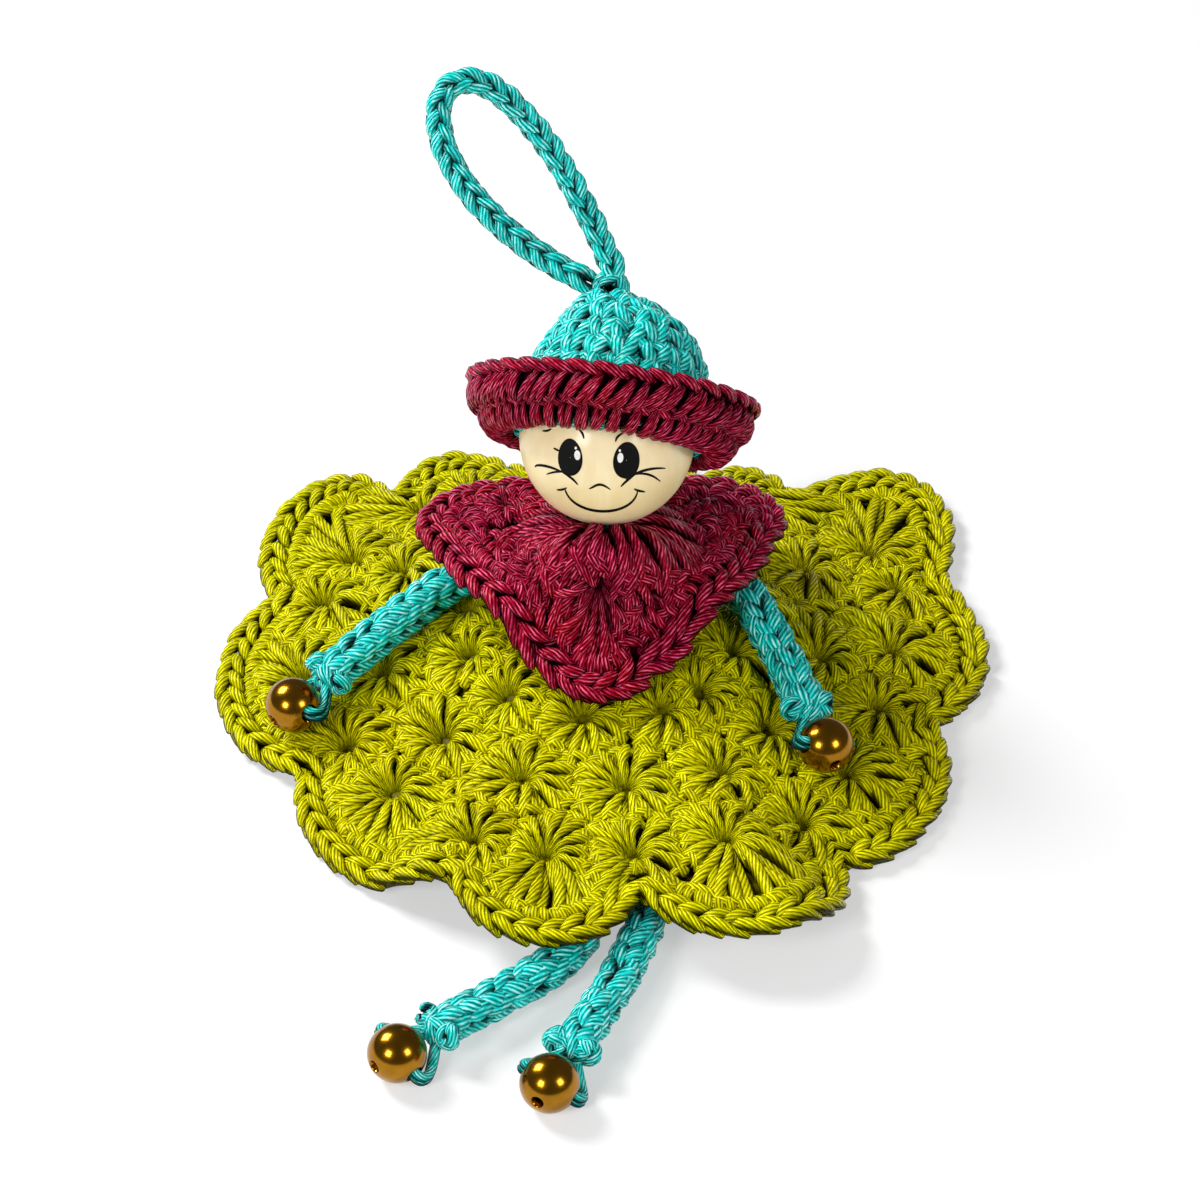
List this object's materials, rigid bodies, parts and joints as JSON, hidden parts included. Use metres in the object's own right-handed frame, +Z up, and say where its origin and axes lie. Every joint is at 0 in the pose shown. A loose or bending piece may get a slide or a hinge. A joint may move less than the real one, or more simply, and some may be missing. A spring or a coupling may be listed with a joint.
{
  "type": "crochet doll keychain",
  "caption": "Crocheted doll keychain with a wooden bead head, brimmed hat with a hanging loop, shawl, spread scalloped skirt and cord limbs ending in pearl beads.",
  "frame": {"origin": "centre of the flat underside of the waist knot, on the surface that the doll sits on", "axes": "+Z up; the doll faces -Y; +X is the viewer's right, the doll's own left"},
  "size_m": [0.1158, 0.1463, 0.0812],
  "materials": {
    "skirt_yarn": "satin",
    "limb_yarn": "satin",
    "shawl_yarn": "satin",
    "pearl": "gloss",
    "head_wood": "satin"
  },
  "bodies": {
    "body": {"waist_knot": "limb_yarn", "neck_cord": "limb_yarn", "skirt": "skirt_yarn", "poncho": "shawl_yarn"},
    "head": {"head_bead": "head_wood", "hat_crown": "limb_yarn", "hat_brim": "shawl_yarn"},
    "loop": {"hanging_loop": "limb_yarn"},
    "right_arm": {"right_arm": "limb_yarn", "right_arm_strap": "limb_yarn"},
    "right_hand": {"right_hand_bead": "pearl"},
    "left_arm": {"left_arm": "limb_yarn", "left_arm_strap": "limb_yarn"},
    "left_hand": {"left_hand_bead": "pearl"},
    "right_leg": {"right_leg": "limb_yarn", "right_leg_strap": "limb_yarn"},
    "right_foot": {"right_foot_bead": "pearl"},
    "left_leg": {"left_leg": "limb_yarn", "left_leg_strap": "limb_yarn"},
    "left_foot": {"left_foot_bead": "pearl"}
  },
  "joints": [
    {"name": "head_turn", "type": "hinge", "parent": "body", "child": "head", "pos_m": [0.0007, 0.0056, 0.04114], "axis": [0.047, 0.3756, 0.9256], "range_deg": [-35, 35]},
    {"name": "loop_swing", "type": "hinge", "parent": "head", "child": "loop", "pos_m": [0.00122, 0.02151, 0.05568], "axis": [0.7829, 0.4163, 0.4623], "range_deg": [-40, 35]},
    {"name": "right_arm_swing", "type": "hinge", "parent": "body", "child": "right_arm", "pos_m": [0, 0, 0.02], "axis": [0, 0, 1], "range_deg": [-20, 25]},
    {"name": "left_arm_swing", "type": "hinge", "parent": "body", "child": "left_arm", "pos_m": [0, 0, 0.02], "axis": [0, 0, 1], "range_deg": [-5, 30]},
    {"name": "right_leg_swing", "type": "hinge", "parent": "body", "child": "right_leg", "pos_m": [0, 0, 0.0033], "axis": [0, 0, 1], "range_deg": [-12, 0]},
    {"name": "left_leg_swing", "type": "hinge", "parent": "body", "child": "left_leg", "pos_m": [0, 0, 0.0033], "axis": [0, 0, 1], "range_deg": [0, 12]},
    {"name": "right_hand_spin", "type": "hinge", "parent": "right_arm", "child": "right_hand", "pos_m": [-0.0443, -0.0154, 0.00893], "axis": [-0.6614, 0.7216, -0.2047], "continuous": true},
    {"name": "left_hand_spin", "type": "hinge", "parent": "left_arm", "child": "left_hand", "pos_m": [0.0316, -0.0256, 0.0104], "axis": [-0.8271, -0.3771, 0.4168], "continuous": true},
    {"name": "right_foot_spin", "type": "hinge", "parent": "right_leg", "child": "right_foot", "pos_m": [-0.0271, -0.0793, 0.004], "axis": [-0.6114, 0.7136, 0.3419], "continuous": true},
    {"name": "left_foot_spin", "type": "hinge", "parent": "left_leg", "child": "left_foot", "pos_m": [-0.0069, -0.0847, 0.004], "axis": [-0.8517, 0.3972, 0.3419], "continuous": true}
  ]
}
